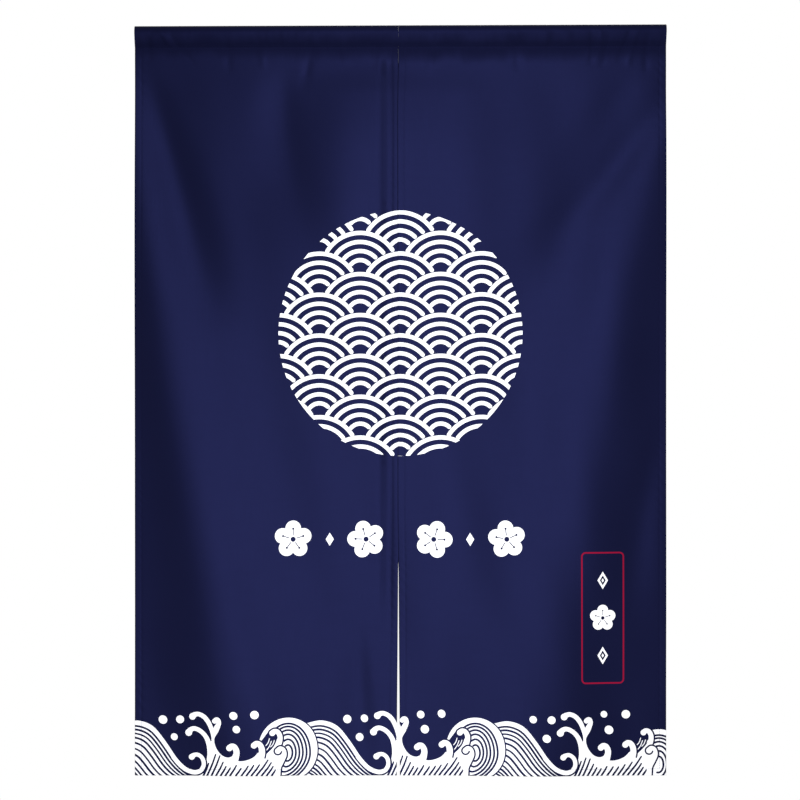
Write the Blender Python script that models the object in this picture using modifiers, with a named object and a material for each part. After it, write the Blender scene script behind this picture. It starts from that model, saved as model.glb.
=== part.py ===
"""Split door curtain: two printed cloth panels that hang side by side, each from its own rod pocket.

Metres, +Z up. The front faces -Y. The origin is in the middle of the curtain's top edge.
Each half is two solids: the rod pocket (heading) and the cloth below its seam (panel), hems included.
"""

import math

import bpy
import numpy as np

# Driving sizes.
WIDTH = 0.850
DROP = 1.200
SLIT_X = -0.0035
CORNER_RISE = 0.003
FIT_GAP = 0.0003
SIDES = ((-1, "left"), (1, "right"))

# The rod pocket, as a section across the rod: a round top and a narrow foot where it is sewn.
POCKET_DROP = 0.034
POCKET_RADIUS = 0.0105
POCKET_FOOT_RADIUS = 0.0022
POCKET_WALL = 0.0016
POCKET_GAP_TOP = 0.0012
POCKET_GAP_FOOT = 0.0005
POCKET_COLUMNS = 14
TOP_ARC_STEPS = 12
FOOT_ARC_STEPS = 4
SLEEVE_MERGE = 0.00002

# The pocket is slacker and tighter along the rod, by waves that add up.
POCKET_RIPPLES = (
    # share of the depth, radians per metre, phase
    (0.027, 41.0, 0.7),
    (0.018, 73.0, 2.1),
)

# The cloth. A hem is the same cloth turned over to the back.
CLOTH = 0.0016
HEM_CLOTH = 0.0026
HEM_WIDTH = 0.012
HEM_STEP = 0.0015
PANEL_COLUMNS = 25
PANEL_ROWS = 46

# The inner edge of the left panel is tucked behind the right panel's, this deep and this far in.
TUCK = 0.0036
TUCK_FULL = 0.006
TUCK_REACH = 0.030

# How far apart the inner edges are, from the pocket's foot down. Below zero they overlap.
SLIT = (
    # z, gap
    (-0.034, 0.0005),
    (-0.066, 0.0005),
    (-0.130, -0.0032),
    (-0.240, -0.0026),
    (-0.780, -0.0020),
    (-0.850, 0.0000),
    (-0.872, 0.0018),
    (-1.050, 0.0037),
    (-1.200, 0.0056),
)
TUCK_STARTS = (-0.036, -0.064)
TUCK_ENDS = (-0.870, -1.000)

# The main folds. Each runs down through three places across the curtain: its top, middle and bottom.
# Inner is its half-width on the side of the curtain's middle, outer on the side of its edge.
# Height is towards the front, below zero for a trough. Fade is the share of its length where it dies away.
FOLDS = (
    # name, z top, z bottom, x top, x middle, x bottom, inner, outer, height, fade
    ("left corner drag", -0.010, -0.520, -0.428, -0.352, -0.292, 0.032, 0.046, -0.0105, 0.42),
    ("left shoulder", -0.080, -1.500, -0.432, -0.334, -0.175, 0.085, 0.056, 0.0170, 0.34),
    ("right corner drag", -0.010, -0.560, 0.420, 0.280, 0.215, 0.050, 0.060, -0.0065, 0.42),
    ("right shoulder", -0.030, -1.450, 0.436, 0.305, 0.205, 0.095, 0.078, 0.0170, 0.28),
    ("right hip trough", -0.600, -0.980, 0.424, 0.392, 0.380, 0.030, 0.030, -0.0040, 0.45),
    ("right hip", -0.640, -1.050, 0.424, 0.402, 0.396, 0.030, 0.030, 0.0035, 0.40),
    ("pull below the pocket", -0.030, -0.360, -0.190, -0.184, -0.158, 0.030, 0.050, -0.0055, 0.45),
    ("upper swell", -0.010, -0.460, -0.052, -0.044, -0.038, 0.200, 0.130, 0.0140, 0.42),
    ("crease beside the slit", -0.930, -1.240, -0.066, -0.064, -0.062, 0.016, 0.040, -0.0030, 0.45),
    ("left hem flute", -0.850, -1.800, -0.150, -0.150, -0.150, 0.050, 0.070, -0.0060, 0.40),
    ("wide swell", -0.640, -1.150, 0.090, 0.100, 0.110, 0.110, 0.110, 0.0100, 0.50),
)
# A fold opens like a fan: its half-widths grow from the first share of their size to the second.
FAN = (0.55, 1.45)
# The cloth leaves the pocket flat, and its folds begin over this stretch of height.
FOLDS_BEGIN = (-0.034, -0.110)

NAVY = (0.0135, 0.0150, 0.0630, 1.0)
NAVY_SHADE = (0.0110, 0.0120, 0.0520, 1.0)


def smooth_step(value):
    """Nothing below 0, everything above 1, and a soft rise between."""
    share = np.clip(value, 0.0, 1.0)
    return share * share * (3.0 - 2.0 * share)


def ramp(value, start, end):
    """A soft rise from 0 at start to 1 at end."""
    return smooth_step((np.asarray(value, float) - start) / (end - start))


def slit_gap(z):
    """The distance between the two inner edges at a height."""
    heights, gaps = zip(*SLIT[::-1])
    return np.interp(z, heights, gaps)


def fold_height(x, z):
    """How far the cloth stands to the front of the flat curtain: each fold is a bell across its own line."""
    height = np.zeros(np.broadcast(x, z).shape)
    for _, z_top, z_bottom, x_top, x_middle, x_bottom, inner, outer, tall, soft in FOLDS:
        along = (z - z_top) / (z_bottom - z_top)
        t = np.clip(along, 0.0, 1.0)
        line = x_top * (1 - t) * (1 - 2 * t) + 4 * x_middle * t * (1 - t) + x_bottom * t * (2 * t - 1)
        away = (x - line) * np.sign(x_middle)
        half_width = np.where(away > 0, outer, inner) * (FAN[0] + (FAN[1] - FAN[0]) * t)
        fade = ramp(along, 0.0, soft) * (1.0 - ramp(along, 1.0 - soft, 1.0))
        height += tall * fade * np.exp(-((away / half_width) ** 2))
    return height * ramp(z, *FOLDS_BEGIN)


def top_edge(x):
    """The height of the curtain's top edge, which rises a little to the right."""
    return CORNER_RISE * x / WIDTH


def tuck(x, z):
    """How far the left panel's inner edge lies behind the right panel's."""
    inward = ramp(x, SLIT_X - TUCK_REACH, SLIT_X - TUCK_FULL)
    down = ramp(z, *TUCK_STARTS) * (1.0 - ramp(z, *TUCK_ENDS))
    return TUCK * inward * down


def material(name, colour, roughness):
    """A plain cloth material."""
    made = bpy.data.materials.new(name)
    made.use_nodes = True
    shader = made.node_tree.nodes["Principled BSDF"]
    shader.inputs["Base Color"].default_value = colour
    shader.inputs["Roughness"].default_value = roughness
    shader.inputs["Metallic"].default_value = 0.0
    made.diffuse_color = colour
    return made


def move_vertices(obj, places):
    """Puts the vertices at these places, in order."""
    obj.data.vertices.foreach_set("co", np.ascontiguousarray(places, np.float32).ravel())
    obj.data.update()


def grid(name, columns, rows):
    """A flat grid of columns by rows of faces, and the column and row number of each vertex."""
    bpy.ops.mesh.primitive_grid_add(x_subdivisions=columns, y_subdivisions=rows, size=1.0)
    obj = bpy.context.object
    obj.name = name
    obj.data.name = name
    flat = np.zeros(len(obj.data.vertices) * 3, np.float32)
    obj.data.vertices.foreach_get("co", flat)
    flat = flat.reshape(-1, 3)
    column = np.rint((flat[:, 0] + 0.5) * columns).astype(int)
    row = np.rint((0.5 - flat[:, 1]) * rows).astype(int)
    return obj, column, row


def solidify(obj, thickness, group=None, thinnest=0.0):
    """Gives an open surface its thickness, behind its front."""
    shell = obj.modifiers.new("thickness", "SOLIDIFY")
    shell.thickness = thickness
    shell.offset = -1.0
    shell.use_rim = True
    if group is not None:
        shell.vertex_group = group
        shell.thickness_vertex_group = thinnest


def stations(length, steps, hem_at_start):
    """Distances along a side, even but for a close pair at each hem's step. The far end has a hem."""
    start = [0.0, HEM_WIDTH, HEM_WIDTH + HEM_STEP] if hem_at_start else [0.0]
    end = [length - HEM_WIDTH - HEM_STEP, length - HEM_WIDTH, length]
    inner = np.linspace(start[-1], end[0], steps - len(start) - len(end) + 3)
    return np.concatenate([start[:-1], inner, end[1:]])


def panel(name, side, finish):
    """One half of the cloth below the pocket's seam. side is -1 for the left half and 1 for the right."""
    obj, column, row = grid(name, PANEL_COLUMNS, PANEL_ROWS)
    full_width = WIDTH / 2 - side * SLIT_X
    across = stations(full_width, PANEL_COLUMNS, True)[column]
    length = DROP - POCKET_DROP - FIT_GAP
    down = stations(length, PANEL_ROWS, False)[row]
    flat_z = -POCKET_DROP - FIT_GAP - down
    inner = SLIT_X + side * slit_gap(flat_z) / 2
    outer = np.full_like(inner, side * WIDTH / 2)
    left, right = (outer, inner) if side < 0 else (inner, outer)
    x = left + (right - left) * across / full_width
    z = flat_z + top_edge(x) * (1.0 - down / length)
    y = -CLOTH / 2 - fold_height(x, z)
    if side < 0:
        y = y + tuck(x, z)
    move_vertices(obj, np.stack([x, y, z], axis=1))
    hem = obj.vertex_groups.new(name="hem")
    from_edge = np.minimum(np.minimum(across, full_width - across), length - down)
    in_hem = from_edge < HEM_WIDTH + HEM_STEP / 2
    hem.add(np.flatnonzero(in_hem).tolist(), 1.0, "REPLACE")
    solidify(obj, HEM_CLOTH, group=hem.name, thinnest=CLOTH / HEM_CLOTH)
    obj.data.materials.append(finish)
    return obj


def pocket_section():
    """The pocket's outer outline as (y, z): up the back, over the top, down the front, round the foot."""
    centre = -POCKET_RADIUS
    foot = -POCKET_DROP + POCKET_FOOT_RADIUS
    lean = math.asin((POCKET_RADIUS - POCKET_FOOT_RADIUS) / (centre - foot))
    over = np.linspace(-lean, math.pi + lean, TOP_ARC_STEPS + 1)
    under = np.linspace(math.pi + lean, 2 * math.pi - lean, FOOT_ARC_STEPS + 1)
    top = np.stack([np.cos(over), np.sin(over)], axis=1) * POCKET_RADIUS + [0.0, centre]
    bottom = np.stack([np.cos(under), np.sin(under)], axis=1) * POCKET_FOOT_RADIUS + [0.0, foot]
    return np.concatenate([top, bottom])


def pocket_depth_share(x):
    """How deep the pocket is at a place along the rod, as a share of its plain depth."""
    return 1.0 + sum(share * np.sin(x * turns + phase) for share, turns, phase in POCKET_RIPPLES)


def heading(name, side, finish):
    """The rod pocket of one half: a sleeve that is open at both ends."""
    section = pocket_section()
    around = len(section)
    obj, column, row = grid(name, POCKET_COLUMNS, around)
    y, z = section[row % around].T
    drop_share = -z / POCKET_DROP
    slit_end = SLIT_X + side * (POCKET_GAP_TOP * (1 - drop_share) + POCKET_GAP_FOOT * drop_share) / 2
    outer_end = np.full_like(slit_end, side * WIDTH / 2)
    left, right = (outer_end, slit_end) if side < 0 else (slit_end, outer_end)
    x = left + (right - left) * column / POCKET_COLUMNS
    places = np.stack([x, y * pocket_depth_share(x), z + top_edge(x)], axis=1)
    move_vertices(obj, places)
    join = obj.modifiers.new("close the sleeve", "WELD")
    join.merge_threshold = SLEEVE_MERGE
    solidify(obj, POCKET_WALL)
    obj.data.materials.append(finish)
    return obj


def gather(name, objects):
    """Puts the curtain's pieces in one collection."""
    collection = bpy.data.collections.new(name)
    bpy.context.scene.collection.children.link(collection)
    for obj in objects:
        for old in list(obj.users_collection):
            old.objects.unlink(obj)
        collection.objects.link(obj)


def main():
    for old in list(bpy.data.objects):
        bpy.data.objects.remove(old)
    cloth = material("navy cloth", NAVY, 0.62)
    doubled = material("navy cloth doubled", NAVY_SHADE, 0.66)
    pieces = []
    for side, half in SIDES:
        pieces.append(heading(f"heading_{half}", side, doubled))
        pieces.append(panel(f"panel_{half}", side, cloth))
    for piece in pieces:
        piece.data.shade_smooth()
        piece.data.set_sharp_from_angle(angle=math.radians(50))
    gather("door curtain", pieces)


main()
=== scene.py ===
# %% [markdown]
# # A split door curtain
# The curtain is a noren: two panels of printed navy cloth that hang side by side in a doorway.
# Each panel has its own rod pocket. A border of stylised waves runs along the bottom.
# Lengths are metres, Z is up, and the front faces -Y. The origin is in the middle of the top edge.
# Every surface here is worked out with numpy, so that the formula of each shape can be read.

import bpy
import numpy as np
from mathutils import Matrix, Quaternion, Vector
from mathutils.geometry import delaunay_2d_cdt


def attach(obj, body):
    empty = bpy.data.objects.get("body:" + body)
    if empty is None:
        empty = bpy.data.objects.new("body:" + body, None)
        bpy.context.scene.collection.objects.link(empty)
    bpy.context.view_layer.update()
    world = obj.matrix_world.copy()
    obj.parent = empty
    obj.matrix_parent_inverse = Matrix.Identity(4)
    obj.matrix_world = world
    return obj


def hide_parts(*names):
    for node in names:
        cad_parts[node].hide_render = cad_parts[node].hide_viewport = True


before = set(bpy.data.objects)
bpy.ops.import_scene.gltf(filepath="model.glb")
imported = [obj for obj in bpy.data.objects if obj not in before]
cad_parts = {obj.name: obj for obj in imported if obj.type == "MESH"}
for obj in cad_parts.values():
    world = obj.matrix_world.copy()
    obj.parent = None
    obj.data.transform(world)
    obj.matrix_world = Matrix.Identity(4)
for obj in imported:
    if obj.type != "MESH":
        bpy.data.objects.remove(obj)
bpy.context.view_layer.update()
print("CAD nodes:", sorted(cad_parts))

# %% [markdown]
# ## Sizes
# The sizes of the curtain are those of its CAD solids, so the cloth lands where they are.
# A hem is the cloth turned over to the back, three layers thick, and its folded edge is round.

# %% Sizes
WIDTH = 0.850
DROP = 1.200
SLIT_X = -0.0035
CORNER_RISE = 0.003
POCKET_DROP = 0.034
FIT_GAP = 0.0003
CLOTH_ROOM = 0.0016
PANEL_LENGTH = DROP - POCKET_DROP - FIT_GAP
SIDES = ((-1, "left"), (1, "right"))

CLOTH = 0.0005
HEM = 0.0015
HEM_WIDTH = 0.012
HEM_STEP = 0.0006
EDGE_ROUND = 0.0007
STITCH_IN = 0.0106
print("panel length:", PANEL_LENGTH)

# %% [markdown]
# ## How the cloth hangs
# The curtain hangs almost flat. Long soft folds fall from its upper corners towards the middle, and
# the hips of the folds show beside the outer edges. Simulated cloth would fold where it likes, so the
# folds are listed instead: each is a bell across its own line, and all the bells add up.

# %% Folds
FOLDS = (
    # z top, z bottom, x top, x middle, x bottom, inner and outer half-width, height, fade
    (-0.010, -0.520, -0.428, -0.352, -0.292, 0.032, 0.046, -0.0105, 0.42),
    (-0.080, -1.500, -0.432, -0.334, -0.175, 0.085, 0.056, 0.0170, 0.34),
    (-0.010, -0.560, 0.420, 0.280, 0.215, 0.050, 0.060, -0.0065, 0.42),
    (-0.030, -1.450, 0.436, 0.305, 0.205, 0.095, 0.078, 0.0170, 0.28),
    (-0.600, -0.980, 0.424, 0.392, 0.380, 0.030, 0.030, -0.0040, 0.45),
    (-0.640, -1.050, 0.424, 0.402, 0.396, 0.030, 0.030, 0.0035, 0.40),
    (-0.030, -0.360, -0.190, -0.184, -0.158, 0.030, 0.050, -0.0055, 0.45),
    (-0.010, -0.460, -0.052, -0.044, -0.038, 0.200, 0.130, 0.0140, 0.42),
    (-0.930, -1.240, -0.066, -0.064, -0.062, 0.016, 0.040, -0.0030, 0.45),
    (-0.850, -1.800, -0.150, -0.150, -0.150, 0.050, 0.070, -0.0060, 0.40),
    (-0.640, -1.150, 0.090, 0.100, 0.110, 0.110, 0.110, 0.0100, 0.50),
)
FAN = (0.55, 1.45)
FOLDS_BEGIN = (-0.034, -0.110)


def ramp(value, start, end):
    """0 at start, 1 at end, and t * t * (3 - 2 * t) between them, t being the share of the way."""
    t = np.clip((np.asarray(value, float) - start) / (end - start), 0.0, 1.0)
    return t * t * (3.0 - 2.0 * t)


def bell(away, half_width):
    """1 in the middle, and exp(-(away / half_width) ** 2) beside it."""
    return np.exp(-((away / half_width) ** 2))


def fold_height(x, z):
    """The sum over the folds of height * fade * bell(away, half-width).

    away is the distance across from the fold's own line, a parabola through its three places, and
    the half-width grows down the fold as a fan opens.
    """
    height = np.zeros(np.broadcast(x, z).shape)
    for z_top, z_bottom, x_top, x_middle, x_bottom, inner, outer, tall, soft in FOLDS:
        along = (z - z_top) / (z_bottom - z_top)
        t = np.clip(along, 0.0, 1.0)
        line = x_top * (1 - t) * (1 - 2 * t) + 4 * x_middle * t * (1 - t) + x_bottom * t * (2 * t - 1)
        away = (x - line) * np.sign(x_middle)
        half_width = np.where(away > 0, outer, inner) * (FAN[0] + (FAN[1] - FAN[0]) * t)
        fade = ramp(along, 0.0, soft) * (1.0 - ramp(along, 1.0 - soft, 1.0))
        height += tall * fade * bell(away, half_width)
    return height * ramp(z, *FOLDS_BEGIN)


heights = fold_height(*np.meshgrid(np.linspace(-WIDTH / 2, WIDTH / 2, 80), np.linspace(-DROP, 0.0, 80)))
print("deepest trough and highest fold:", heights.min().round(4), heights.max().round(4))

# %% [markdown]
# ## Small unevenness
# Real cloth is never quite smooth. Low waves wander over it, and a few sharp little creases run down
# from the pocket, where the cloth is gathered by its seam. They are waves and bells of about 1 mm. The
# last two bells are broad and 2 to 3 mm high: they set the pull from the right upper corner.

# %% Creases
WAVES = (
    # height, turns per metre across and down, phase, bend
    (0.0009, 3.1, 1.3, 0.4, 0.9),
    (0.0006, 5.3, -0.8, 2.2, 1.3),
    (0.0004, 9.7, 1.9, 4.0, 1.7),
)
CREASES = (
    # x and z at the top, x and z at the bottom, half-width, height
    (-0.398, -0.002, -0.399, -0.060, 0.0050, -0.0011),
    (-0.388, -0.004, -0.344, -0.052, 0.0046, 0.0012),
    (-0.366, -0.010, -0.330, -0.066, 0.0050, -0.0008),
    (-0.286, -0.012, -0.270, -0.080, 0.0060, -0.0008),
    (-0.214, -0.016, -0.222, -0.074, 0.0050, 0.0007),
    (-0.148, -0.014, -0.156, -0.110, 0.0070, -0.0010),
    (-0.092, -0.018, -0.084, -0.064, 0.0050, 0.0006),
    (-0.036, -0.012, -0.044, -0.070, 0.0060, -0.0007),
    (0.046, -0.014, 0.052, -0.082, 0.0060, 0.0007),
    (0.108, -0.016, 0.100, -0.062, 0.0050, -0.0007),
    (0.176, -0.012, 0.190, -0.078, 0.0060, -0.0008),
    (0.238, -0.018, 0.230, -0.060, 0.0050, 0.0007),
    (0.306, -0.006, 0.300, -0.066, 0.0040, -0.0012),
    (0.318, -0.004, 0.312, -0.058, 0.0040, 0.0011),
    (0.331, -0.008, 0.322, -0.070, 0.0045, -0.0010),
    (0.364, -0.006, 0.352, -0.062, 0.0040, -0.0011),
    (0.380, -0.003, 0.366, -0.070, 0.0045, 0.0012),
    (0.402, -0.006, 0.392, -0.080, 0.0050, -0.0011),
    (0.474, -0.040, 0.272, -0.330, 0.0300, -0.0032),
    (0.424, -0.040, 0.222, -0.330, 0.0340, 0.0024),
)
CREASE_BEND = 0.004


def low_waves(x, z):
    """The sum of height * sin(2 pi (across * x + down * z) + phase + bend * sin(4 z + phase))."""
    return sum(
        height * np.sin(2 * np.pi * (across * x + down * z) + phase + bend * np.sin(4 * z + phase))
        for height, across, down, phase, bend in WAVES
    )


def creases(x, z):
    """Each crease is height * sin(pi t) * bell(away, half-width), with t along its bent line."""
    height = np.zeros(np.broadcast(x, z).shape)
    for x_top, z_top, x_bottom, z_bottom, half_width, tall in CREASES:
        t = np.clip((z - z_top) / (z_bottom - z_top), 0.0, 1.0)
        away = x - (x_top + (x_bottom - x_top) * t + CREASE_BEND * np.sin(3 * t + 40 * x_top))
        height += tall * np.sin(np.pi * t) * bell(away, half_width)
    return height


print("waves:", len(WAVES), "creases:", len(CREASES))

# %% [markdown]
# ## From the flat cloth to the hung cloth
# A maker cuts, prints and hems the cloth flat, and then hangs it. The same order works here. The
# print and the mesh are made flat, in the cloth's own x and z, and one function hangs any point.
# The inner edge of the left panel lies behind the right panel's, and low down the two part a little.

# %% Hanging
SLIT = (
    # z, gap
    (-0.034, 0.00003), (-0.060, 0.00003), (-0.130, -0.0032), (-0.240, -0.0026), (-0.780, -0.0020),
    (-0.858, 0.0000), (-0.872, 0.0006), (-0.919, 0.0012), (-1.015, 0.0026), (-1.079, 0.0037),
    (-1.200, 0.0052),
)
FRONT_SHIFT = 0.0003
WAVES_BEGIN = (-0.036, -0.120)
DENT_DEPTH = 0.00022
DENT_HALF_WIDTH = 0.0014
PUCKER_HEIGHT = 0.00011
PUCKER_PLACE = 0.009
PUCKER_HALF_WIDTH = 0.0075
TUCK = 0.0036
TUCK_ACROSS = (SLIT_X - 0.032, SLIT_X - 0.015)
TUCK_TURN = 0.0011
TUCK_TURNED = SLIT_X - 0.004
TUCK_STARTS = (-0.036, -0.064)
TUCK_ENDS = (-0.870, -1.000)


def top_edge(x):
    """CORNER_RISE * x / WIDTH: the top edge rises a little to the right."""
    return CORNER_RISE * x / WIDTH


def panel_span(side):
    """The flat x of a panel's left and right edges."""
    return (-WIDTH / 2, SLIT_X) if side < 0 else (SLIT_X, WIDTH / 2)


def from_edges(flat_x, flat_z, side):
    """The distance to the nearest hemmed edge: the two sides and the bottom."""
    left, right = panel_span(side)
    return np.minimum(np.minimum(flat_x - left, right - flat_x), flat_z + DROP)


def seam_dent(distance, flat_x, flat_z):
    """The stitches draw the hem in: a narrow bell at the stitch line, and puckers that wave along it."""
    dent = -DENT_DEPTH * bell(distance - STITCH_IN, DENT_HALF_WIDTH)
    along = 430 * (flat_x + flat_z) + 3.5 * np.sin(31 * flat_z + 17 * flat_x)
    pucker = PUCKER_HEIGHT * bell(distance - PUCKER_PLACE, PUCKER_HALF_WIDTH) * np.sin(along)
    return dent + pucker * (0.6 + 0.4 * np.sin(19 * flat_z - 23 * flat_x))


def hang(flat_x, flat_z, side):
    """Where a point of the flat cloth hangs.

    x is stretched between the hung edges, z follows the sloping top edge, and
    y = shift - half the cloth's room - folds - waves - creases - dents, plus the left panel's tuck.
    """
    left, right = panel_span(side)
    inner = SLIT_X + side * np.interp(flat_z, *np.array(SLIT)[::-1].T) / 2
    hung_left, hung_right = (left, inner) if side < 0 else (inner, right)
    x = hung_left + (hung_right - hung_left) * (flat_x - left) / (right - left)
    z = flat_z + top_edge(x) * (flat_z + DROP) / PANEL_LENGTH
    y = FRONT_SHIFT - CLOTH_ROOM / 2 - fold_height(x, z) - creases(x, z)
    y = y - low_waves(x, z) * ramp(z, *WAVES_BEGIN)
    y = y - seam_dent(from_edges(flat_x, flat_z, side), flat_x, flat_z)
    if side < 0:
        across = TUCK * ramp(x, *TUCK_ACROSS) - TUCK_TURN * ramp(x, TUCK_ACROSS[1], TUCK_TURNED)
        y = y + across * ramp(z, *TUCK_STARTS) * (1 - ramp(z, *TUCK_ENDS))
    return np.stack([x, y, z], axis=-1)


print("top right corner hangs at", hang(np.array([0.425]), np.array([-0.0343]), 1).round(4))

# %% [markdown]
# ## Drawing the print
# The print is drawn as closed outlines, each with its ink, from the back of the picture to the front,
# as paper cuts are laid on each other. A later outline covers the earlier ones.
# These helpers draw a smooth path, a brush stroke with round ends, and a disc.

# %% Drawing tools
NAVY_INK = 0
WHITE_INK = 1
RED_INK = 2


def through(points, steps=6):
    """A smooth path through the points: a Catmull-Rom cubic between each two of them."""
    p = np.asarray(points, float)
    p = np.vstack([2 * p[0] - p[1], p, 2 * p[-1] - p[-2]])
    t = np.linspace(0.0, 1.0, steps, endpoint=False)[:, None]
    a, b, c, d = (p[first: len(p) - 3 + first, None] for first in range(4))
    curve = b + 0.5 * t * (c - a + t * (2 * a - 5 * b + 4 * c - d + t * (3 * (b - c) + d - a)))
    return np.vstack([curve.reshape(-1, p.shape[1]), p[-2]])


def directions(path):
    """Unit vectors ahead along a path and a quarter turn to its left."""
    ahead = np.gradient(path, axis=0)
    ahead /= np.linalg.norm(ahead, axis=1, keepdims=True)
    return ahead, np.stack([-ahead[:, 1], ahead[:, 0]], axis=1)


def stroke(points, steps=6, width=None):
    """The outline of a brush stroke: path - aside * width / 2, a half circle, path + aside * width / 2."""
    path = through(points, steps)
    middle = path[:, :2]
    half = np.full((len(path), 1), width / 2) if width is not None else path[:, 2:] / 2
    ahead, aside = directions(middle)
    turn = np.linspace(-np.pi / 2, np.pi / 2, 7)[1:-1, None]
    last = middle[-1] + half[-1] * (np.cos(turn) * ahead[-1] + np.sin(turn) * aside[-1])
    first = middle[0] - half[0] * (np.cos(turn) * ahead[0] + np.sin(turn) * aside[0])
    return np.vstack([middle - aside * half, last, (middle + aside * half)[::-1], first])


def edge_line(points, first, last=1.0, wrap=0.0, width=2.6):
    """A thin line beside a stroke, on its outer side, over a share of its length.

    The line is path - aside * (half + width / 2). It may wrap on round the ball at the stroke's end.
    """
    path = through(points)
    middle, half = path[:, :2], path[:, 2:] / 2
    ahead, aside = directions(middle)
    line = middle - aside * (half + width / 2)
    if wrap > 0.0:
        turn = np.linspace(0.0, wrap, 9)[:, None]
        sweep = np.sin(turn) * ahead[-1] - np.cos(turn) * aside[-1]
        line = np.vstack([line[:-1], middle[-1] + sweep * (half[-1] + width / 2)])
    return stroke(line[int(first * len(line)): int(last * len(line))], 1, width)


def disc(x, z, radius, corners=20, squash=1.0, turn=0.0):
    """A circle, or an ellipse when squashed: (r cos a, r squash sin a), turned about its centre."""
    angle = np.linspace(0, 2 * np.pi, corners, endpoint=False)
    across, up = np.cos(angle) * radius, np.sin(angle) * radius * squash
    cos, sin = np.cos(turn), np.sin(turn)
    return np.stack([x + across * cos - up * sin, z + across * sin + up * cos], axis=1)


print("a stroke has", len(stroke(((0, 0, 1), (1, 1, 1), (2, 0, 1)))), "corners")

# %% [markdown]
# ## The wave border
# The border is a traditional one: striped swells, a round wave with a coil of lines in it, spray with
# curled tips like fern fronds, and drops. It repeats about every 296 mm, and the side edges cut it.
# The lists are in millimetres from the foot of one spray, with z from the bottom edge up.

# %% Border lists
SPRAYS = (-0.5967, -0.3007, -0.0040, 0.2911, 0.5870)
BORDER_Z = -DROP + 0.0025
SWELL_TOP = ((-150, 79.5), (-143, 81.5), (-120, 85.5), (-96, 77), (-76, 54), (-56, 25), (-39, 7),
             (-24, -3), (-12, -6))
SWELL_FOOT = ((-150, 1), (-143, 0), (-139, -2), (-136, -4), (-133, -6), (-130, -8), (-127, -10),
              (-122, -12), (-118, -14))
SWELL_BASE = ((-12, -12), (-150, -12))
SWELL_ENDS = (-18, -6)
SWELL_LINE = 3.15
SWELL_LINES = (0.10, 0.165, 0.235, 0.31, 0.40, 0.50, 0.60, 0.70, 0.79, 0.86, 0.92, 0.97)
TRUNK = ((2, -6, 30), (2, 2, 25), (1.6, 10, 18), (1, 20, 15), (0.4, 34, 13), (0, 44, 11), (0.6, 50, 7))
FRONDS = (
    # place across, place up and width along the stroke, which ends in a ball
    ((-62, 27, 7), (-53, 16.5, 7), (-44.5, 9, 7), (-35, 4.4, 7), (-26, 3, 7), (-17.5, 6.5, 6.8),
     (-13, 15.5, 6.6), (-15, 25.4, 6.4), (-21.6, 31.2, 6.2), (-28, 31, 7), (-32.4, 27.8, 9.6)),
    ((2.4, 44, 5), (2.2, 54, 4), (1.4, 64, 5), (-1, 74.6, 6.8), (-5.8, 84.8, 7.2), (-12.6, 92.8, 7.2),
     (-20.8, 96.8, 7), (-27, 96, 8), (-31, 93, 11)),
    ((-1, 20, 13), (-2, 34, 10), (-3.8, 46, 8.4), (-7.6, 57.4, 7.4), (-13.6, 65.8, 7), (-21, 71.4, 7),
     (-28.4, 73.6, 7.2), (-34, 71.4, 8.4), (-37.2, 67, 11.4)),
    ((1.6, 56, 4), (3, 62, 5.6), (5.8, 70, 9.4), (9.2, 77, 8.6), (11.8, 83, 6.8), (10.4, 88, 6.4),
     (7, 88.8, 6.2), (4.8, 86, 8.2)),
    ((29, 6, 14), (34.6, 17, 12), (38.6, 27, 10.2), (40, 37, 9.6), (36.8, 44.2, 9), (32, 45.8, 8.6),
     (28.4, 42.8, 10)),
    ((61, 5, 14), (70.4, 15.5, 12), (79, 27, 10.2), (81, 38.6, 9.4), (77.8, 47.4, 8.8), (72.4, 50.2, 8.4),
     (68, 47, 10)),
)
CREST_FRONDS = (
    ((84, 22, 9), (91.5, 30, 9), (101, 39.5, 8.8), (107.6, 49, 8.4), (109.6, 59.5, 7.8),
     (106.4, 67.4, 7.4), (101, 69.4, 7.4), (97.2, 66.4, 9.4)),
    ((104, -8, 12), (105.4, 3, 10), (107, 12, 8.8), (111.8, 21.5, 8.4), (116, 31, 8), (114.6, 38.8, 7.4),
     (109.8, 41.4, 7), (106.2, 37.6, 9.4)),
)
CREST_EDGES = (
    # share of the length where the edge line begins, angle that it wraps round the ball
    (0.30, 2.2),
    (0.06, 3.6),
)
SEA = ((-27, -9), (-20, 1), (-13, 9), (-9, 20), (-7, 32), (-6, 42), (-2, 52), (2.6, 56), (4.6, 50),
       (6.6, 44), (10.4, 37.4), (15.6, 31.6), (22, 28.2), (28, 27.6), (33, 29.8), (35.6, 34), (38, 24),
       (47, 21.6), (58, 23.6), (68, 28.4), (76, 36), (81, 29), (90, 32), (98, 40), (104, 50), (110, 44),
       (112, 30), (109, 12), (106, -9))
SEA_TICKS = (
    # foot, height, lean
    (-12.5, 20, 0.42), (-6.5, 30, 0.40), (0.5, 27, 0.42), (8, 18, 0.52), (15.5, 12, 0.58),
    (23, 10, 0.64), (30.5, 14, 0.62), (40, 10.5, 0.70), (49, 13, 0.70), (57, 16, 0.70),
    (65, 18, 0.74), (73, 25, 0.74), (81.5, 17, 0.74), (89.5, 12, 0.70), (97.5, 7, 0.66),
)
ROUND_CENTRE = (122.0, 44.0)
ROUND_RADIUS = 46.5
ROUND_GROWTH = 6.5
ROUND_SINK = 10.0
ROUND_LEAN = 0.006
ROUND_DROPS = (0, 0, 0, 19, 0)
ROUND_RIMS = (
    # ink, share of the radius, first angle in degrees
    (NAVY_INK, 1.045, 196),
    (WHITE_INK, 1.0, 200),
)
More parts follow.
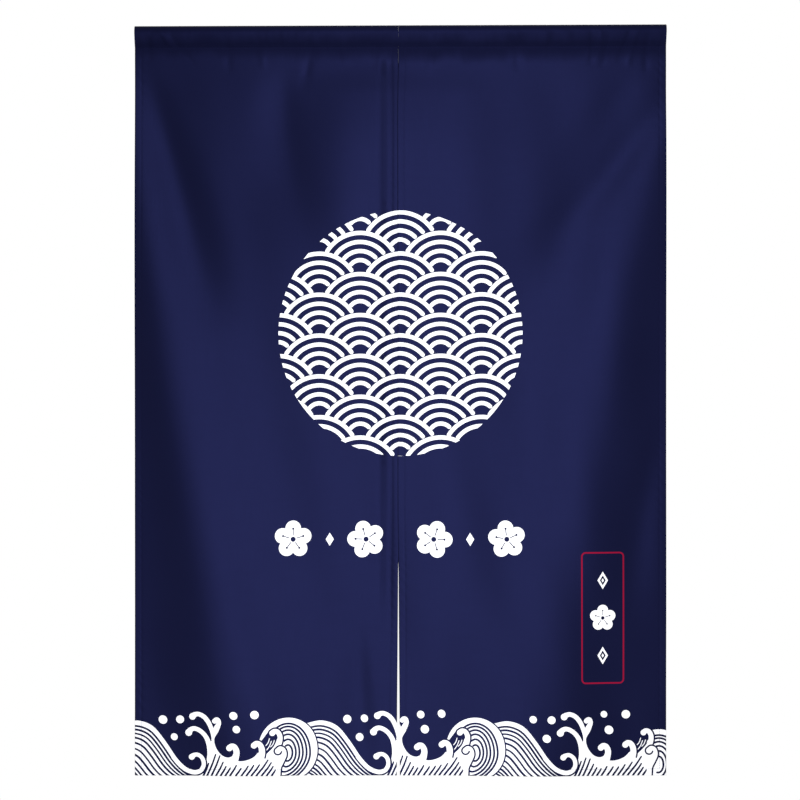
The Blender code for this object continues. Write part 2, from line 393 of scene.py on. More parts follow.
ROUND_RINGS = (
    # share of the radius, how much taller than wide, first and last angle in degrees
    (0.768, 1.32, 150, -95), (0.647, 1.41, 140, -98), (0.518, 1.52, 140, -112), (0.400, 1.61, 130, -118),
    (0.278, 1.70, 118, -116), (0.160, 1.75, 116, -104),
)
RING_LINE = 3.2
RING_STEP = 5.8
LEAF = ((79.5, 54), (84, 60), (91, 69), (99, 75), (106, 66), (104.5, 56), (100, 45.5), (91, 35.5),
        (82, 28.5), (79, 27), (83.5, 40), (82.8, 48))
LEAF_TICKS = ((87.2, 46.8, 92.6, 57.6), (87.6, 38.6, 95.8, 53.6), (94.6, 44.5, 100.4, 54.5))
DROPS = ((-80, 88, 6.3), (-51, 87.5, 6.6), (-60, 59, 6.0), (34, 95.5, 5.8), (69, 95.5, 7.0),
         (40.5, 72, 6.4))
LEAF_LINE = 1.3
print("fronds:", len(FRONDS) + len(CREST_FRONDS), "sea ticks:", len(SEA_TICKS))

# %% [markdown]
# ## Drawing the border
# Each wave is a white shape with dark lines laid on it. A swell's lines lie between its top and its
# foot, a round wave's are arcs that lean inwards, and the spray is brush strokes. Outlines could be
# drawn point by point, but arcs and strokes keep the width of a line even and need far fewer numbers.

# %% Border shapes
def coil(share, tall, first, last, drop, lean=ROUND_LEAN, growth=0.0):
    """An arc of the round wave: with v = share * radius * tall * sin a, it is at (share * radius * cos a, v).

    growth is what the rim's radius gains towards the lower right. The rings lean inwards below their
    middle, by lean * v^2.
    """
    angle = np.linspace(first, last, max(8, int((first - last) * share / RING_STEP)))
    turn = np.radians(angle)
    radius = share * (ROUND_RADIUS + growth * ramp(-angle, -20.0, 70.0))
    up = radius * tall * np.sin(turn)
    across = radius * np.cos(turn) - lean * np.minimum(up, 0.0) ** 2
    return np.stack([ROUND_CENTRE[0] + across, ROUND_CENTRE[1] - drop + up], axis=1)


def swell():
    """White under its top line, with dark lines at shares of the way from the top line to the foot."""
    top, foot = through(SWELL_TOP, 5), through(SWELL_FOOT, 5)
    shapes = [(WHITE_INK, np.vstack([top, SWELL_BASE]))]
    for number, share in enumerate(SWELL_LINES):
        line = (1 - share) * top + share * foot
        line = line[(line[:, 0] < SWELL_ENDS[0]) & (line[:, 1] > SWELL_ENDS[1])][::2]
        shapes.append((NAVY_INK, stroke(line, 2, SWELL_LINE + 0.35 * np.sin(number * 2.3))))
    return shapes


def round_wave(number):
    """A dark rim, a white coil, dark rings in it, and a dark leaf with white ticks at its mouth."""
    drop = ROUND_DROPS[number]
    shapes = [(ink, coil(share, 1.0, first, -110, drop, 0.0, ROUND_GROWTH))
              for ink, share, first in ROUND_RIMS]
    shapes += [(NAVY_INK, stroke(coil(*ring, drop + ROUND_SINK), 2, RING_LINE)) for ring in ROUND_RINGS]
    shapes.append((NAVY_INK, through(LEAF + LEAF[:1], 3)[:-1]))
    for x0, z0, x1, z1 in LEAF_TICKS:
        bend = ((x0 + x1) / 2 + 0.8, (z0 + z1) / 2 - 0.8)
        shapes.append((WHITE_INK, stroke(((x0, z0), bend, (x1, z1)), 3, LEAF_LINE)))
    return shapes


def spray(number):
    """The sea with its ticks, the trunk, the fronds and the drops, which differ a little each time."""
    shapes = [(WHITE_INK, through(SEA, 3))]
    for path, (first, wrap) in zip(CREST_FRONDS, CREST_EDGES):
        shapes += [(WHITE_INK, stroke(path)), (NAVY_INK, edge_line(path, first, wrap=wrap))]
    shapes += [(WHITE_INK, stroke(path)) for path in (TRUNK,) + FRONDS]
    shapes += [(NAVY_INK, edge_line(FRONDS[0], 0.22, 0.72)), (NAVY_INK, edge_line(FRONDS[5], 0.36, 0.84))]
    for foot, height, lean in SEA_TICKS:
        top = height * (1 + 0.12 * np.sin(foot * 1.7 + number))
        path = ((foot - 3, -6, 3.3), (foot, 0, 3.3), (foot + 0.56 * top * lean, 0.5 * top, 3.1),
                (foot + top * lean, top, 2.4))
        shapes.append((NAVY_INK, stroke(path, 2)))
    for index, (x, z, radius) in enumerate(DROPS):
        shift = np.sin(index * 2.1 + number * 1.3)
        drop = disc(x + shift, z - shift, radius + 0.3 * shift, 20, 1 + 0.1 * shift, shift)
        shapes.append((WHITE_INK, drop))
    return shapes


def wave_border():
    """Swells first, then the round waves and sprays over them, moved to each place along the bottom."""
    shapes = []
    for make in (lambda number: swell(), lambda number: round_wave(number) + spray(number)):
        for number, place in enumerate(SPRAYS):
            shapes += [(ink, outline * 0.001 + (place, BORDER_Z)) for ink, outline in make(number)]
    return shapes


print("border shapes:", len(wave_border()))

# %% [markdown]
# ## The moon of fans
# The middle of the curtain carries a large round motif over both panels. Here it is a full moon filled
# with the old pattern of overlapping fans, each four arcs. Only the part of an arc that shows above
# the fans below it is drawn, and the bare cloth about the moon cuts the fans off.

# %% Moon
MOON = (0.0, -0.493)
MOON_RADIUS = 0.196
FAN_RADIUS = MOON_RADIUS / 3
FAN_ARCS = (0.955, 0.735, 0.515, 0.295)
FAN_LINE = 0.0066
FAN_ROWS = range(-5, 20)
FAN_COLUMNS = range(-4, 5)
FAN_GAP = 0.0024
ARC_STEP = 0.0012


def fans():
    """Fan centres stand 2 R apart in rows R / 2 apart, and every second row is shifted by R.

    An arc of radius r shows up to the angle atan(1/2) + asin((r/R + R/(4r)) / sqrt(5)) from the top,
    where the fans of the next row cross it, or up to where cos = -r/(2R), where the row after does.
    Only the runs of an arc that lie within the moon, and a little past its rim, are kept.
    """
    shapes = []
    for row in FAN_ROWS:
        z = MOON[1] + MOON_RADIUS - row * FAN_RADIUS / 2
        for column in FAN_COLUMNS:
            x = MOON[0] + (column + 0.5 * (row % 2)) * FAN_RADIUS * 2
            for share in FAN_ARCS:
                radius = share * FAN_RADIUS
                lean = np.arcsin(min(1.0, (share + 0.25 / share) / np.sqrt(5)))
                reach = min(np.arctan(0.5) + lean, np.pi - np.arccos(share / 2)) - FAN_GAP / radius
                angle = np.linspace(-reach, reach, 4 + int(reach * radius / ARC_STEP))
                arc = np.stack([x + radius * np.sin(angle), z + radius * np.cos(angle)], axis=1)
                within = np.hypot(*(arc - MOON).T) < MOON_RADIUS + FAN_LINE / 2
                for run in np.split(np.arange(len(arc)), np.flatnonzero(np.diff(within)) + 1):
                    if within[run[0]] and len(run) > 3:
                        shapes.append((WHITE_INK, stroke(arc[run][::2], 1, FAN_LINE)))
    return shapes


def moon():
    """The fans, and over them a narrow navy ring whose inner edge is the moon's outline."""
    ring = disc(*MOON, MOON_RADIUS + 2 * FAN_LINE, 160)
    return fans() + [(NAVY_INK, ring, disc(*MOON, MOON_RADIUS, 160)[::-1])]


print("moon shapes:", len(moon()))

# %% [markdown]
# ## The row and the plate
# Under the moon is a row of small motifs, and low on the right a thin red frame holds three more.
# They are plum blossoms and lozenges, both old patterns of plain circles and straight lines.

# %% Small motifs
BLOSSOMS = (-0.172, -0.0555, 0.0535, 0.170)
BLOSSOM_SIZE = 0.0292
ROW_Z = -0.822
LOZENGES = (-0.1135, 0.1115)
PLATE = (0.3224, -0.9473, 0.0695, 0.2106)
PLATE_CORNER = 0.0075
PLATE_LINE = 0.0025
PLATE_BLOSSOM = 0.0205
PLATE_LOZENGES_UP = (0.060, -0.060)
LOZENGE = (0.0065, 0.0105)
PLATE_LOZENGE = ((WHITE_INK, 0.0085, 0.0140), (NAVY_INK, 0.0048, 0.0080), (WHITE_INK, 0.0020, 0.0034))


def blossom(x, z, size, turn=0.0):
    """Five round petals about a round middle, each with a thin dark stamen and its dot.

    Every place and radius is a share of the size.
    """
    shapes = []
    ahead = [np.array([np.cos(a), np.sin(a)]) * size for a in turn + np.pi * (0.5 + 0.4 * np.arange(5))]
    shapes += [(WHITE_INK, disc(*((x, z) + 0.60 * step), 0.43 * size, 22)) for step in ahead]
    shapes += [(WHITE_INK, disc(x, z, 0.40 * size)), (NAVY_INK, disc(x, z, 0.14 * size, 16))]
    for step in ahead:
        line = (x, z) + np.linspace(0.22, 0.52, 4)[:, None] * step
        shapes.append((NAVY_INK, stroke(line, 1, 0.045 * size)))
        shapes.append((NAVY_INK, disc(*((x, z) + 0.58 * step), 0.06 * size, 12)))
    return shapes


def lozenge(x, z, across, up):
    """Four straight sides between the points at across to either side and up and down."""
    return np.array([(x + across, z), (x, z + up), (x - across, z), (x, z - up)])


def round_box(x, z, width, height, corner):
    """A box whose corners are quarter circles."""
    angle = np.arange(4)[:, None] * np.pi / 2 + np.linspace(0, np.pi / 2, 7)
    centres = np.array([(1, 1), (-1, 1), (-1, -1), (1, -1)]) * (width / 2 - corner, height / 2 - corner)
    arcs = centres[:, None] + corner * np.stack([np.cos(angle), np.sin(angle)], axis=-1)
    return arcs.reshape(-1, 2) + (x, z)


def small_motifs():
    """The row of blossoms with lozenges between, and the framed plate with its three motifs."""
    shapes = []
    for index, x in enumerate(BLOSSOMS):
        shapes += blossom(x, ROW_Z, BLOSSOM_SIZE, 0.35 * np.sin(index * 2.2))
    shapes += [(WHITE_INK, lozenge(x, ROW_Z, *LOZENGE)) for x in LOZENGES]
    x, z, width, height = PLATE
    inner = (width - 2 * PLATE_LINE, height - 2 * PLATE_LINE, PLATE_CORNER - PLATE_LINE)
    shapes += [(RED_INK, round_box(x, z, width, height, PLATE_CORNER)), (NAVY_INK, round_box(x, z, *inner))]
    shapes += blossom(x, z, PLATE_BLOSSOM)
    for up in PLATE_LOZENGES_UP:
        shapes += [(ink, lozenge(x, z + up, *halves)) for ink, *halves in PLATE_LOZENGE]
    return shapes


PRINT = wave_border() + moon() + small_motifs()
print("print shapes:", len(PRINT))

# %% [markdown]
# ## Cutting the cloth along the print
# A picture file could carry the print, but a drawn one stays sharp at any size. So the flat cloth is
# cut into triangles whose edges run along every outline (a constrained Delaunay triangulation), and
# each triangle takes the ink of the last outline that its middle lies in.

# %% Cutting
GRID_STEP = 0.0065
SEAM_STEP = 0.0030
EDGE_STEP = 0.0040
TUCKED_IN = 0.0022
GATHERED_DROP = 0.045
HEM_LINES = (0.0, 0.0002, 0.0007, 0.0025, 0.0050, 0.0075, 0.0092, STITCH_IN, HEM_WIDTH,
             HEM_WIDTH + HEM_STEP, 0.0145)


def lattice(xs, zs):
    """Every pair of an x and a z, as points."""
    return np.stack(np.meshgrid(xs, zs), axis=-1).reshape(-1, 2)


def cloth_points(side):
    """Even points over the cloth, and closer ones along the hems and under the pocket."""
    left, right = panel_span(side)
    top = -POCKET_DROP - FIT_GAP + TUCKED_IN
    hem = np.array(HEM_LINES)
    inner_x = np.linspace(left + hem[-1], right - hem[-1], int((right - left) / GRID_STEP))
    inner_z = np.linspace(top, -DROP + hem[-1], int((top + DROP) / GRID_STEP))
    seam_z = np.linspace(top, -DROP + hem[-1], int((top + DROP) / SEAM_STEP))
    side_x = np.concatenate([left + hem, right - hem])
    fine_x = np.linspace(left + hem[-1], right - hem[-1], int((right - left) / SEAM_STEP))
    all_x = np.concatenate([side_x, fine_x])
    gathered_z = np.linspace(top, top - GATHERED_DROP, 16)
    return np.unique(np.vstack([
        lattice(inner_x, inner_z), lattice(side_x, seam_z), lattice(all_x, -DROP + hem),
        lattice(fine_x, gathered_z),
    ]).round(7), axis=0)


def border_edges(points):
    """Edges between neighbours along each side of the points' own rectangle."""
    low, high = points.min(axis=0), points.max(axis=0)
    edges = []
    for axis, limit in ((0, low[0]), (0, high[0]), (1, low[1]), (1, high[1])):
        on_side = np.flatnonzero(np.isclose(points[:, axis], limit, atol=1e-9))
        on_side = on_side[np.argsort(points[on_side, 1 - axis])]
        edges.append(np.stack([on_side[:-1], on_side[1:]], axis=1))
    return np.vstack(edges)


def with_steps(loop):
    """The loop with its long edges cut into steps, so that they bend with the folds of the cloth."""
    along = np.roll(loop, -1, axis=0) - loop
    parts = np.ceil(np.linalg.norm(along, axis=1) / EDGE_STEP).astype(int)
    step = np.arange(parts.sum()) - np.repeat(np.cumsum(parts) - parts, parts)
    share = (step / np.repeat(parts, parts))[:, None]
    return np.repeat(loop, parts, axis=0) + np.repeat(along, parts, axis=0) * share


def inside(points, loops):
    """Whether the loops wind about each point: edges that pass on its right, up less down, aren't 0."""
    turns = np.zeros(len(points), int)
    px, pz = points[:, :1], points[:, 1:]
    for loop in loops:
        (ax, az), (bx, bz) = loop.T, np.roll(loop, -1, axis=0).T
        on_left = (bx - ax) * (pz - az) - (px - ax) * (bz - az)
        turns += ((az <= pz) & (pz < bz) & (on_left > 0)).sum(axis=1)
        turns -= ((bz <= pz) & (pz < az) & (on_left < 0)).sum(axis=1)
    return turns != 0


def cut_cloth(side):
    """The flat cloth's points, triangles that turn left as seen from the front, and inks."""
    points = cloth_points(side)
    low, high = points.min(axis=0), points.max(axis=0)
    edges, parts, count = [border_edges(points)], [points], len(points)
    shapes = [(colour, *loops) for colour, *loops in PRINT
              if (loops[0].min(axis=0) < high).all() and (loops[0].max(axis=0) > low).all()]
    for _, *loops in shapes:
        for loop in map(with_steps, loops):
            number = count + np.arange(len(loop))
            edges.append(np.stack([number, np.roll(number, -1)], axis=1))
            parts.append(loop)
            count += len(loop)
    flat = np.vstack(parts)
    made = delaunay_2d_cdt([Vector(p) for p in flat], np.vstack(edges).tolist(), [], 0, 1e-7, False)
    flat, triangles = np.array([tuple(p) for p in made[0]]), np.array(made[2])
    middle = flat[triangles].mean(axis=1)
    kept = ((middle > low) & (middle < high)).all(axis=1)
    triangles, middle = triangles[kept], middle[kept]
    ink = np.zeros(len(triangles), int)
    for colour, *loops in shapes:
        start, end = loops[0].min(axis=0), loops[0].max(axis=0)
        near = np.flatnonzero(((middle > start) & (middle < end)).all(axis=1))
        ink[near[inside(middle[near], loops)]] = colour
    used, triangles = np.unique(triangles, return_inverse=True)
    return flat[used], triangles.reshape(-1, 3), ink


cuts = {side: cut_cloth(side) for side, _ in SIDES}
for side, name in SIDES:
    print(name, "points:", len(cuts[side][0]), "triangles:", len(cuts[side][1]))

# %% [markdown]
# ## From a surface to cloth with two sides
# A sheet without thickness looks like paper from its edge. So the front gets a back, and a rim joins
# the two along every open edge. The Solidify modifier could do this, but a hem needs its own
# thickness at each point, and a round folded edge, so the offset is worked out here.

# %% Shells
SHARP_ANGLE = np.radians(62)


def vertex_normals(points, triangles):
    """Each point's unit normal: the sum of the cross products of the triangles about it."""
    a, b, c = points[triangles].transpose(1, 0, 2)
    faces = np.cross(b - a, c - a)
    normals = np.zeros_like(points)
    for corner in range(3):
        np.add.at(normals, triangles[:, corner], faces)
    return normals / np.linalg.norm(normals, axis=1, keepdims=True)


def open_edges(triangles):
    """The edges that only one triangle has, in the direction in which it goes round them."""
    edges = np.vstack([triangles[:, [0, 1]], triangles[:, [1, 2]], triangles[:, [2, 0]]])
    _, first, count = np.unique(np.sort(edges, axis=1), axis=0, return_index=True, return_counts=True)
    return edges[first[count == 1]]


def shell(points, triangles, thickness, inset=0.0):
    """Front, back and rim. The front is points - inset * normal, the back is thickness - 2 * inset on."""
    normals = vertex_normals(points, triangles)
    front = points - normals * np.reshape(inset, (-1, 1))
    back = front - normals * np.reshape(thickness - 2 * np.asarray(inset), (-1, 1))
    a, b = open_edges(triangles).T
    far = len(points)
    rim = np.vstack([np.stack([b, a, a + far], axis=1), np.stack([b, a + far, b + far], axis=1)])
    return np.vstack([front, back]), np.vstack([triangles, triangles[:, ::-1] + far, rim])


def round_grid(rows, columns):
    """The four-sided faces between rows of points, of which each closes on itself."""
    a, b = np.stack([np.arange(rows - 1), np.arange(1, rows)])[..., None] * columns + np.arange(columns)
    return np.stack([a, b, np.roll(b, -1, axis=1), np.roll(a, -1, axis=1)], axis=-1).reshape(-1, 4)


def make_piece(name, points, faces, flat, finishes, numbers=0):
    """A mesh object from arrays, with a UV map that holds each point's place on the flat cloth."""
    mesh = bpy.data.meshes.new(name)
    corners = faces.shape[1]
    mesh.vertices.add(len(points))
    mesh.vertices.foreach_set("co", points.astype(np.float32).ravel())
    mesh.loops.add(faces.size)
    mesh.loops.foreach_set("vertex_index", faces.astype(np.int32).ravel())
    mesh.polygons.add(len(faces))
    mesh.polygons.foreach_set("loop_start", np.arange(len(faces), dtype=np.int32) * corners)
    mesh.update(calc_edges=True)
    mesh.validate()
    uv = mesh.uv_layers.new(name="flat")
    uv.data.foreach_set("uv", flat[faces.ravel()].astype(np.float32).ravel())
    for finish in finishes:
        mesh.materials.append(finish)
    mesh.polygons.foreach_set("material_index", np.broadcast_to(numbers, len(faces)).astype(np.int32))
    mesh.shade_smooth()
    mesh.set_sharp_from_angle(angle=SHARP_ANGLE)
    piece = bpy.data.objects.new(name, mesh)
    bpy.context.scene.collection.objects.link(piece)
    print(name, "triangles:", len(faces) * (corners - 2))
    return piece


# %% [markdown]
# ## Nodes for the finishes
# A finish is a graph of small nodes. Blender's own calls that add and join them are long, so a class
# with short ones keeps each finish readable. Every pattern reads the cloth's UV map or the Object
# coordinates, so it stays on the cloth from wherever it is seen.

# %% Node helpers
BUMP_DEPTH = 0.0001


def socket(node, name):
    """A node's input by its name, the first that is enabled."""
    return next(s for s in node.inputs if s.name == name and s.enabled)


class Graph:
    """A material's nodes, with short calls to add and join them."""

    def __init__(self, name):
        self.material = bpy.data.materials.new(name)
        self.material.use_nodes = True
        self.tree = self.material.node_tree
        self.shader = self.tree.nodes["Principled BSDF"]

    def add(self, kind, values=None, **settings):
        """A node with these settings, and these values or links on its inputs."""
        node = self.tree.nodes.new(kind)
        for name, value in settings.items():
            setattr(node, name, value)
        for name, value in (values or {}).items():
            self.put(node, name, value)
        return node

    def put(self, node, name, value):
        """Sets an input, by name or number, to a value or to another node's output."""
        target = node.inputs[name] if isinstance(name, int) else socket(node, name)
        if isinstance(value, bpy.types.NodeSocket):
            self.tree.links.new(value, target)
        else:
            target.default_value = value

    def math(self, operation, first, second=0.0, third=0.0):
        """The output of a Math node."""
        node = self.add("ShaderNodeMath", {0: first, 1: second, 2: third}, operation=operation)
        return node.outputs[0]

    def blend(self, share, first, second):
        """The output of a colour Mix node."""
        node = self.add("ShaderNodeMix", {"Factor": share, "A": first, "B": second}, data_type="RGBA")
        return next(s for s in node.outputs if s.enabled)

    def noise(self, vector, scale, detail=2.0, rough=0.5):
        """The 0 to 1 output of a Noise Texture."""
        values = {"Vector": vector, "Scale": scale, "Detail": detail, "Roughness": rough}
        return self.add("ShaderNodeTexNoise", values).outputs[0]

    def wave(self, vector, scale, direction):
        """The 0 to 1 output of a Wave Texture with bands."""
        values = {"Vector": vector, "Scale": scale}
        return self.add("ShaderNodeTexWave", values, bands_direction=direction).outputs[1]

    def place(self):
        """The Object coordinates."""
        return self.add("ShaderNodeTexCoord").outputs["Object"]

    def bump(self, height, strength):
        """The normal of a Bump node."""
        values = {"Height": height, "Strength": strength, "Distance": BUMP_DEPTH}
        return self.add("ShaderNodeBump", values).outputs[0]

    def scaled(self, vector, scale):
        """The output of a Mapping node that stretches the coordinates."""
        return self.add("ShaderNodeMapping", {"Vector": vector, "Scale": scale}).outputs[0]

    def surface(self, **values):
        """Sets the shader's inputs, whose names have spaces for underscores, and gives the material."""
        for name, value in values.items():
            self.put(self.shader, name.replace("_", " "), value)
        return self.material


def darker(colour, share):
    """The colour with its red, green and blue times share."""
    return tuple(share * part for part in colour[:3]) + (1.0,)


print("a darker white:", darker((1.0, 1.0, 1.0, 1.0), 0.86))

# %% [markdown]
# ## Cloth finishes
# The cloth is a plain-woven polyester with a soft satin gleam. The dye is printed from the front, so
# the back shows the same print, but paler. The weave follows the flat cloth through the UV map, whose
# unit is a metre: two sets of fine ridges cross at a yarn's pitch, and slubs make some yarns darker.

# %% Cloth finishes
# A Wave Texture repeats every WAVE_UNIT at scale 1.
WAVE_UNIT = 0.314159
YARN_PITCH = 0.00042
WARP_SCALE = (1400, 16, 1)
WEFT_SCALE = (14, 1400, 1)
SEAM_WANDER = 0.022
SEAM_FADES = ((-0.037, -0.062), (-0.033, -0.012))


def beside_seam(graph, flat):
    """1 far from the pocket's seam and 0 beside it, with soft steps at heights that wander along it."""
    noise = graph.noise(graph.scaled(flat, (1.0, 0.3, 1.0)), 26.0, 3.0)
    wander = graph.math("MULTIPLY_ADD", noise, SEAM_WANDER, -SEAM_WANDER / 2)
    height = graph.add("ShaderNodeSeparateXYZ", {"Vector": graph.place()}).outputs["Z"]
    height = graph.math("ADD", height, wander)
    steps = []
    for near, far in SEAM_FADES:
        values = {"Value": height, "From Min": near, "From Max": far}
        steps.append(graph.add("ShaderNodeMapRange", values, interpolation_type="SMOOTHSTEP").outputs[0])
    return graph.math("MAXIMUM", *steps)


def cloth_finish(name, colour, dark, rough, gleam, tint=(1.0, 1.0, 1.0, 1.0), seam=0.0):
    """Woven cloth of one ink. The tone goes from colour to dark with 1.5 yarns + 0.9 patches - 0.75.

    Beside the pocket's seam the cloth is puckered and rougher by seam; its darker colour there is painted
    shade.
    """
    graph = Graph(name)
    flat = graph.add("ShaderNodeUVMap", uv_map="flat").outputs[0]
    weave = graph.math("MAXIMUM", *(graph.wave(flat, WAVE_UNIT / YARN_PITCH, axis) for axis in "XY"))
    slubs = [graph.noise(graph.scaled(flat, scale), 1.0) for scale in (WARP_SCALE, WEFT_SCALE)]
    yarns = graph.math("MULTIPLY", graph.math("ADD", *slubs), 0.5)
    patches = graph.noise(flat, 7.0, 3.0)
    share = graph.math("MULTIPLY_ADD", yarns, 1.5, graph.math("MULTIPLY_ADD", patches, 0.9, -0.75))
    share = graph.add("ShaderNodeClamp", {"Value": share}).outputs[0]
    tone = graph.blend(share, colour, dark)
    roughness = graph.math("MULTIPLY_ADD", yarns, 0.16, rough - 0.08)
    if seam > 0:
        away = beside_seam(graph, flat)
        roughness = graph.math("MULTIPLY_ADD", away, -seam, graph.math("ADD", roughness, seam))
        # Painted shade: beside the seam the colour goes to 0.86 times dark, for the shade at the seam.
        tone = graph.blend(away, darker(dark, 0.86), tone)
    ridges = graph.bump(graph.math("MULTIPLY_ADD", weave, 0.55, yarns), 0.35)
    return graph.surface(Base_Color=tone, Roughness=roughness, Normal=ridges, Specular_IOR_Level=gleam,
                         Specular_Tint=tint, Sheen_Weight=0.01, Sheen_Roughness=0.4)


NAVY = (0.0042, 0.0050, 0.0204, 1.0)
NAVY_DARK = (0.0033, 0.0039, 0.0168, 1.0)
NAVY_GLEAM = (0.205, 0.245, 1.0, 1.0)
RED_GLEAM = (1.0, 0.05, 0.15, 1.0)
INKS = (
    cloth_finish("navy_front", NAVY, NAVY_DARK, 0.45, 0.200, NAVY_GLEAM, 0.34),
    cloth_finish("white_front", (0.86, 0.87, 0.90, 1), (0.79, 0.80, 0.84, 1), 0.60, 0.10),
    cloth_finish("red_front", (0.25, 0.006, 0.030, 1), (0.18, 0.004, 0.022, 1), 0.50, 0.10, RED_GLEAM),
    cloth_finish("navy_back", (0.036, 0.041, 0.115, 1), (0.028, 0.032, 0.094, 1), 0.58, 0.12),
    cloth_finish("white_back", (0.70, 0.71, 0.76, 1), (0.62, 0.63, 0.69, 1), 0.64, 0.10),
    cloth_finish("red_back", (0.27, 0.055, 0.095, 1), (0.20, 0.040, 0.075, 1), 0.58, 0.10),
)
print("cloth finishes:", len(INKS))

# %% [markdown]
# ## The panels
# Each panel is its cut cloth, hung and given its thickness. Where a hem is turned over, the cloth's
# printed side comes round to the back, so the hem's back is navy and not pale.

# %% Panels
def hem_thickness(distance):
    """Three layers within the hem's width of an edge, and one layer further in, with a step between."""
    return CLOTH + (HEM - CLOTH) * (1.0 - ramp(distance, HEM_WIDTH, HEM_WIDTH + HEM_STEP))


def edge_inset(distance):
    """How far a folded edge curves away: r - sqrt(r * r - (r - d) ** 2) within r of the edge."""
    near = np.clip(EDGE_ROUND - distance, 0.0, EDGE_ROUND)
    return EDGE_ROUND - np.sqrt(EDGE_ROUND ** 2 - near ** 2)


def make_panel(side, name):
    """One panel, with front, back and rim, and the ink of each triangle as its finish."""
    flat, triangles, ink = cuts[side]
    distance = from_edges(*flat.T, side)
    points, faces = shell(hang(*flat.T, side), triangles, hem_thickness(distance), edge_inset(distance))
    middle = flat[triangles].mean(axis=1)
    turned = from_edges(*middle.T, side) < HEM_WIDTH + HEM_STEP
    back = np.where(turned, NAVY_INK, ink + 3)
    numbers = np.concatenate([ink, back, np.zeros(len(faces) - 2 * len(triangles), int)])
    return make_piece(f"cloth_{name}", points, faces, np.vstack([flat, flat]), INKS, numbers)


panels = {side: make_panel(side, name) for side, name in SIDES}

# %% [markdown]
# ## The rod pockets
# Each panel's top is turned over and sewn down, which leaves a flat sleeve for the rod. Seen along
# the rod, it is a round top that narrows to the seam. Its section is swept along the curtain, and the
# seam's gathers pull it in and out. The ends stay open.

# %% Pockets
POCKET_RADIUS = 0.0105
POCKET_FOOT_RADIUS = 0.0022
POCKET_GAPS = (0.00008, 0.00006)
POCKET_COLUMNS = 230
POCKET_RIPPLES = ((0.027, 41.0, 0.7), (0.018, 73.0, 2.1))
GROOVE_DEPTH = 0.0004
GROOVE_Z = -0.0318
GROOVE_HALF_WIDTH = 0.0011
GATHERS = (
    # height, turns per metre, phase, wander
    (0.00050, 19.0, 0.6, 2.6),
    (0.00030, 37.0, 1.9, 2.2),
    (0.00014, 71.0, 4.1, 1.9),
)


def pocket_section():
    """The outline as (y, z): the top circle, the foot circle and the two straight lines between them."""
    centre, foot = -POCKET_RADIUS, -POCKET_DROP + POCKET_FOOT_RADIUS
    lean = np.arcsin((POCKET_RADIUS - POCKET_FOOT_RADIUS) / (centre - foot))
    over = np.linspace(-lean, np.pi + lean, 23)
    under = np.linspace(np.pi + lean, 2 * np.pi - lean, 7)
    top = np.stack([np.cos(over), np.sin(over)], axis=1) * POCKET_RADIUS + (0.0, centre)
    bottom = np.stack([np.cos(under), np.sin(under)], axis=1) * POCKET_FOOT_RADIUS + (0.0, foot)
    share = np.linspace(0, 1, 10)[1:-1, None]
    down = top[-1] + (bottom[0] - top[-1]) * share
    up = bottom[-1] + (top[0] - bottom[-1]) * share
    return np.vstack([top, down, bottom, up])


def gather_height(x, drop):
    """Waves of three lengths that lean to and fro, grow towards the seam, and come and go along it."""
    leaning = x + 0.007 * drop * np.sin(37 * x + 0.5)
    shape = sum(tall * np.sin(leaning * turns * 2 * np.pi + phase + wander * np.sin(23 * x + phase))
                for tall, turns, phase, wander in GATHERS)
    grown = ramp(drop, 0.10, 0.72) * (1 - 0.6 * ramp(drop, 0.88, 1.0))
    return shape * grown * (0.7 + 0.5 * np.sin(29 * x + 1))


def make_sleeve(side, name, finish):
    """The section carried along x. y is scaled by 1 + sum(share * sin), and z follows the top edge."""
    section = pocket_section()
    column, row = np.meshgrid(np.arange(POCKET_COLUMNS + 1), np.arange(len(section)), indexing="ij")
    y, z = section[row].transpose(2, 0, 1)
    drop = -z / POCKET_DROP
    slit_end = SLIT_X + side * (POCKET_GAPS[0] * (1 - drop) + POCKET_GAPS[1] * drop) / 2
    outer_end = np.full_like(slit_end, side * WIDTH / 2)
    left, right = (outer_end, slit_end) if side < 0 else (slit_end, outer_end)
    x = left + (right - left) * column / POCKET_COLUMNS
    depth = 1 + sum(share * np.sin(x * turns + phase) for share, turns, phase in POCKET_RIPPLES)
    push = gather_height(x, drop) - GROOVE_DEPTH * bell(z - GROOVE_Z, GROOVE_HALF_WIDTH)
    follows = ramp(drop, 0.05, 0.3) * np.where(y < 0, 1.0, ramp(drop, 0.6, 0.9))
    y = y * depth * (1.0 - 0.35 * ramp(drop, 0.80, 0.95))
    y = y + np.sign(y) * push * ramp(np.abs(y), 0.0, 0.002) - creases(x, z) * follows
    points = np.stack([x, y, z + top_edge(x)], axis=-1).reshape(-1, 3)
    quads = round_grid(POCKET_COLUMNS + 1, len(section))
    triangles = np.vstack([quads[:, [0, 2, 1]], quads[:, [0, 3, 2]]])
    run = np.concatenate([[0], np.cumsum(np.linalg.norm(np.diff(section, axis=0), axis=1))])
    flat = np.stack([x, -run[row]], axis=-1).reshape(-1, 2)
    points, faces = shell(points, triangles, CLOTH)
    return make_piece(f"sleeve_{name}", points, faces, np.vstack([flat, flat]), [finish])


SLEEVE_FINISH = cloth_finish("navy_sleeve", NAVY, NAVY_DARK, 0.50, 0.115, NAVY_GLEAM, 0.30)
sleeves = {side: make_sleeve(side, name, SLEEVE_FINISH) for side, name in SIDES}

# %% [markdown]
# ## Stitches
# Navy polyester thread holds the hems and the pockets. A lockstitch shows as a row of short bars on
# both sides of the cloth, each about 3 mm long and drawn a little into it. One small bar of a few
# faces is repeated along every seam, lying on the hung cloth and turned with it.

